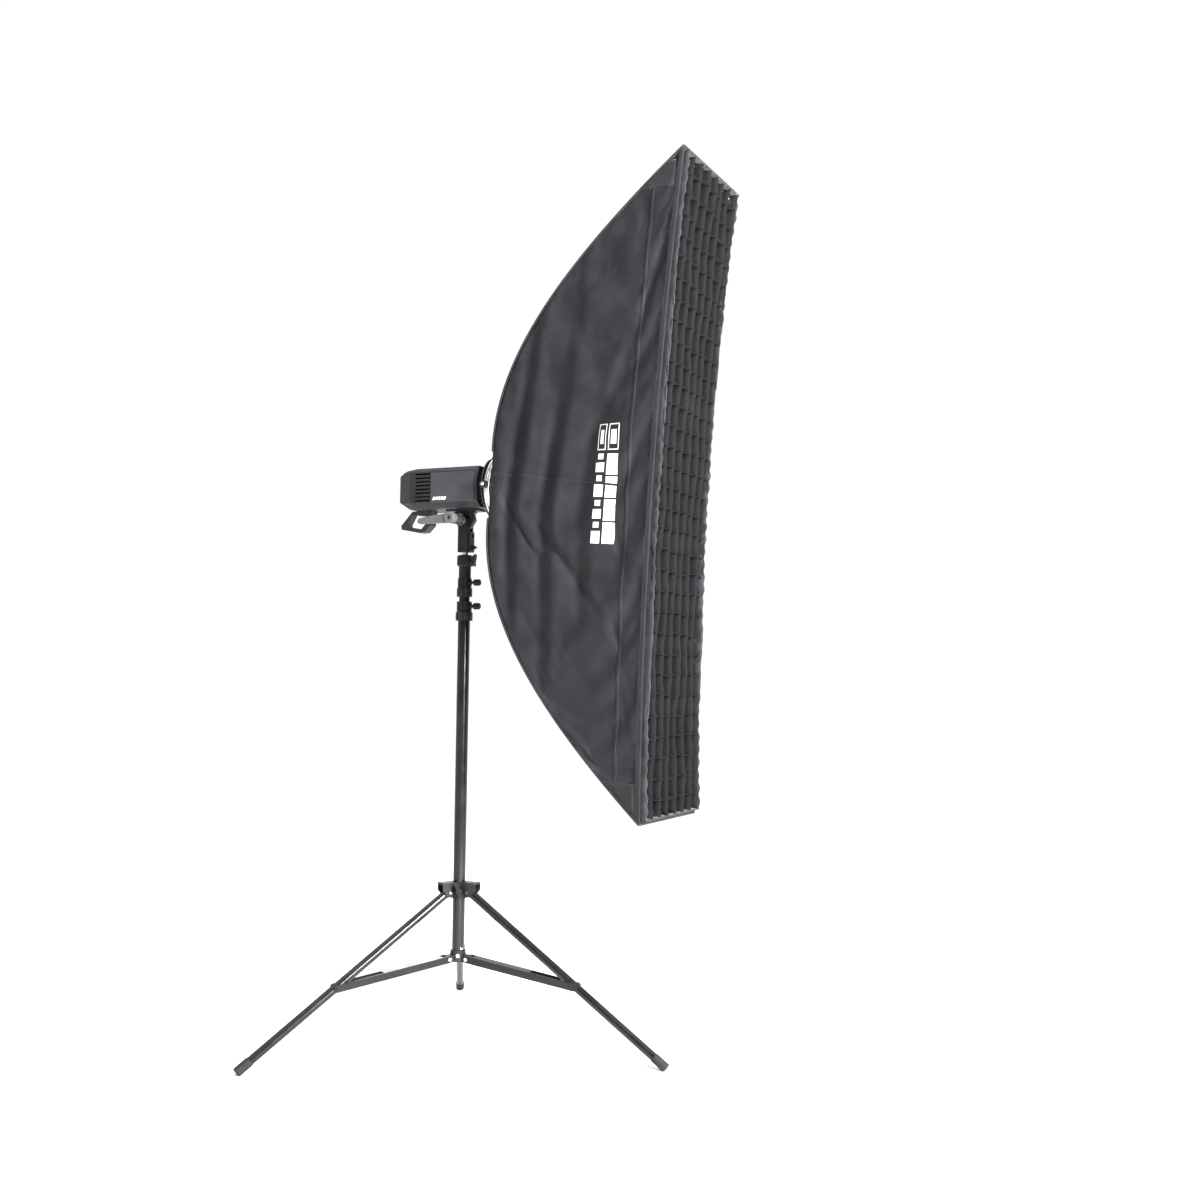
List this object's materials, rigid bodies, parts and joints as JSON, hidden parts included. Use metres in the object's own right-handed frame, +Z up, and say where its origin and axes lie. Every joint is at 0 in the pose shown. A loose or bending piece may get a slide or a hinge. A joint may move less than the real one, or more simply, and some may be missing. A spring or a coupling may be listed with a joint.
{
  "type": "studio softbox",
  "caption": "Narrow strip softbox with fabric grid on a tilting monolight strobe head, held up by a telescopic light stand with folding braced legs.",
  "frame": {"origin": "on the floor, under the axis of the stand column", "axes": "+Z up, +X the way the light points, -Y the side with the tilt lever"},
  "size_m": [0.8774, 0.905, 1.924],
  "materials": {
    "black_tube": "gloss black coated",
    "black_brace": "satin black paint",
    "stand_plastic": "moulded black",
    "clamp_screw": "moulded black on a steel stem",
    "bright_metal": "polished",
    "foot_rubber": "matt",
    "bracket_metal": "satin black",
    "lever_plastic": "moulded dark grey",
    "bronze": "satin",
    "strobe_shell": "fine texture",
    "plate_plastic": "satin dark grey",
    "dark_plastic": "fine texture",
    "mount_metal": "machined",
    "clear_glass": "frosted",
    "window": "gloss",
    "can_plastic": "sleeve",
    "board": "solder mask",
    "ring_metal": "satin silver",
    "spring_steel": "satin",
    "socket_plastic": "moulded",
    "black_nylon": "woven nylon",
    "silver_fabric": "metallised",
    "white_fabric": "translucent white",
    "grid_fabric": "matt black"
  },
  "bodies": {
    "column": {"lower_tube": "black_tube", "lower_clamp": "stand_plastic", "base_collar": "stand_plastic", "base_rivets": "bright_metal"},
    "middle_column": {"middle_tube": "black_tube", "upper_clamp": "stand_plastic"},
    "top_column": {"top_tube": "black_tube", "top_fitting": "stand_plastic", "spigot": "bright_metal"},
    "lower_clamp_knob": {"lower_clamp_knob": "clamp_screw"},
    "upper_clamp_knob": {"upper_clamp_knob": "clamp_screw"},
    "wing_lever": {"wing_lever": "stand_plastic"},
    "leg_collar": {"leg_collar": "stand_plastic", "leg_rivets": "bright_metal"},
    "collar_knob": {"collar_knob": "stand_plastic"},
    "bracket": {"tilt_bracket": "bracket_metal", "friction_washer": "bronze"},
    "spigot_knob": {"spigot_knob": "clamp_screw"},
    "tilt_lever": {"tilt_lever": "lever_plastic", "tilt_bolt": "bright_metal"},
    "head": {"head_lug": "bracket_metal", "handle": "strobe_shell", "strobe_housing": "strobe_shell", "rear_cap": "strobe_shell", "side_plate": "plate_plastic", "front_barrel": "strobe_shell", "bayonet_ring": "mount_metal", "flash_tube": "clear_glass", "glass_dome": "clear_glass", "display": "window", "capacitors": "can_plastic", "circuit_board": "board", "adapter_ring": "ring_metal", "retaining_ring": "spring_steel"},
    "control_dial": {"control_dial": "dark_plastic"},
    "test_button": {"test_button": "dark_plastic"},
    "battery": {"battery": "dark_plastic"},
    "fan_rotor": {"fan_rotor": "dark_plastic"},
    "softbox": {"rotating_ring": "ring_metal", "rod_sockets": "socket_plastic", "rods": "spring_steel", "side_panel_near": "black_nylon", "side_panel_far": "black_nylon", "end_panel_top": "black_nylon", "end_panel_bottom": "black_nylon", "rear_skirt": "black_nylon", "silver_lining": "silver_fabric", "inner_baffle": "white_fabric", "front_diffuser": "white_fabric", "egg_crate_grid": "grid_fabric"},
    "ring_knob": {"ring_knob": "clamp_screw"},
    "leg_front": {"leg_front": "black_tube", "foot_front": "foot_rubber"},
    "brace_front": {"brace_front": "black_brace"},
    "leg_rear_left": {"leg_rear_left": "black_tube", "foot_rear_left": "foot_rubber"},
    "brace_rear_left": {"brace_rear_left": "black_brace"},
    "leg_rear_right": {"leg_rear_right": "black_tube", "foot_rear_right": "foot_rubber"},
    "brace_rear_right": {"brace_rear_right": "black_brace"}
  },
  "joints": [
    {"name": "leg_fold", "type": "slide", "parent": "column", "child": "leg_collar", "axis": [0, 0, 1], "range_m": [0, 0.4488]},
    {"name": "middle_section_slide", "type": "slide", "parent": "column", "child": "middle_column", "axis": [0, 0, 1], "range_m": [0, 0.62]},
    {"name": "top_section_slide", "type": "slide", "parent": "middle_column", "child": "top_column", "axis": [0, 0, 1], "range_m": [0, 0.65]},
    {"name": "lower_clamp_screw", "type": "hinge", "parent": "column", "child": "lower_clamp_knob", "pos_m": [0.03, 0, 0.98625], "axis": [1, 0, 0], "range_deg": [0, 540]},
    {"name": "upper_clamp_screw", "type": "hinge", "parent": "middle_column", "child": "upper_clamp_knob", "pos_m": [0.03, 0, 1.0406], "axis": [1, 0, 0], "range_deg": [0, 540]},
    {"name": "wing_lever_flip", "type": "hinge", "parent": "top_column", "child": "wing_lever", "pos_m": [0.0215, 0, 1.083], "axis": [0, 1, 0], "range_deg": [0, 80]},
    {"name": "collar_screw", "type": "hinge", "parent": "leg_collar", "child": "collar_knob", "pos_m": [0.015, -0.02598, 0.341], "axis": [0.5, -0.866, 0], "range_deg": [0, 540]},
    {"name": "leg_front_hinge", "type": "hinge", "parent": "leg_collar", "child": "leg_front", "pos_m": [0.028, 0, 0.337], "axis": [0, 1, 0], "range_deg": [0, 54]},
    {"name": "brace_front_hinge", "type": "hinge", "parent": "column", "child": "brace_front", "pos_m": [0.028, 0, 0.187], "axis": [0, -1, 0], "range_deg": [0, 95]},
    {"name": "leg_rear_left_hinge", "type": "hinge", "parent": "leg_collar", "child": "leg_rear_left", "pos_m": [-0.014, 0.02425, 0.337], "axis": [-0.866, -0.5, 0], "range_deg": [0, 54]},
    {"name": "brace_rear_left_hinge", "type": "hinge", "parent": "column", "child": "brace_rear_left", "pos_m": [-0.014, 0.02425, 0.187], "axis": [0.866, 0.5, 0], "range_deg": [0, 95]},
    {"name": "leg_rear_right_hinge", "type": "hinge", "parent": "leg_collar", "child": "leg_rear_right", "pos_m": [-0.014, -0.02425, 0.337], "axis": [0.866, -0.5, 0], "range_deg": [0, 54]},
    {"name": "brace_rear_right_hinge", "type": "hinge", "parent": "column", "child": "brace_rear_right", "pos_m": [-0.014, -0.02425, 0.187], "axis": [-0.866, 0.5, 0], "range_deg": [0, 95]},
    {"name": "pan", "type": "hinge", "parent": "top_column", "child": "bracket", "pos_m": [0, 0, 1.12], "axis": [0, 0, 1], "continuous": true},
    {"name": "spigot_screw", "type": "hinge", "parent": "bracket", "child": "spigot_knob", "pos_m": [0.025, 0, 1.121], "axis": [1, 0, 0], "range_deg": [0, 540]},
    {"name": "tilt_lever_turn", "type": "hinge", "parent": "bracket", "child": "tilt_lever", "pos_m": [0, -0.07, 1.184], "axis": [0, -1, 0], "range_deg": [0, 100]},
    {"name": "tilt", "type": "hinge", "parent": "bracket", "child": "head", "pos_m": [0, 0, 1.184], "axis": [0, 1, 0], "range_deg": [-45, 15]},
    {"name": "dial_turn", "type": "hinge", "parent": "head", "child": "control_dial", "pos_m": [-0.147, -0.024, 1.238], "axis": [-1, 0, 0], "continuous": true},
    {"name": "test_press", "type": "slide", "parent": "head", "child": "test_button", "axis": [1, 0, 0], "range_m": [0, 0.0012], "stiffness_N_per_m": 400},
    {"name": "battery_pull", "type": "slide", "parent": "head", "child": "battery", "axis": [0, 1, 0], "range_m": [0, 0.06]},
    {"name": "fan_spin", "type": "hinge", "parent": "head", "child": "fan_rotor", "pos_m": [-0.107, 0, 1.254], "axis": [1, 0, 0], "continuous": true},
    {"name": "softbox_turn", "type": "hinge", "parent": "head", "child": "softbox", "pos_m": [0.0945, 0, 1.254], "axis": [0.9982, 0, -0.0593], "continuous": true},
    {"name": "ring_screw", "type": "hinge", "parent": "softbox", "child": "ring_knob", "pos_m": [0.09749, -0.09, 1.25382], "axis": [0, -1, 0], "range_deg": [0, 540]}
  ],
  "couplings": [
    {"joint": "leg_front_hinge", "follows": "leg_fold", "rad_per_m": 2.0717},
    {"joint": "brace_front_hinge", "follows": "leg_fold", "rad_per_m": 3.6614},
    {"joint": "leg_rear_left_hinge", "follows": "leg_fold", "rad_per_m": 2.0717},
    {"joint": "brace_rear_left_hinge", "follows": "leg_fold", "rad_per_m": 3.6614},
    {"joint": "leg_rear_right_hinge", "follows": "leg_fold", "rad_per_m": 2.0717},
    {"joint": "brace_rear_right_hinge", "follows": "leg_fold", "rad_per_m": 3.6614}
  ]
}
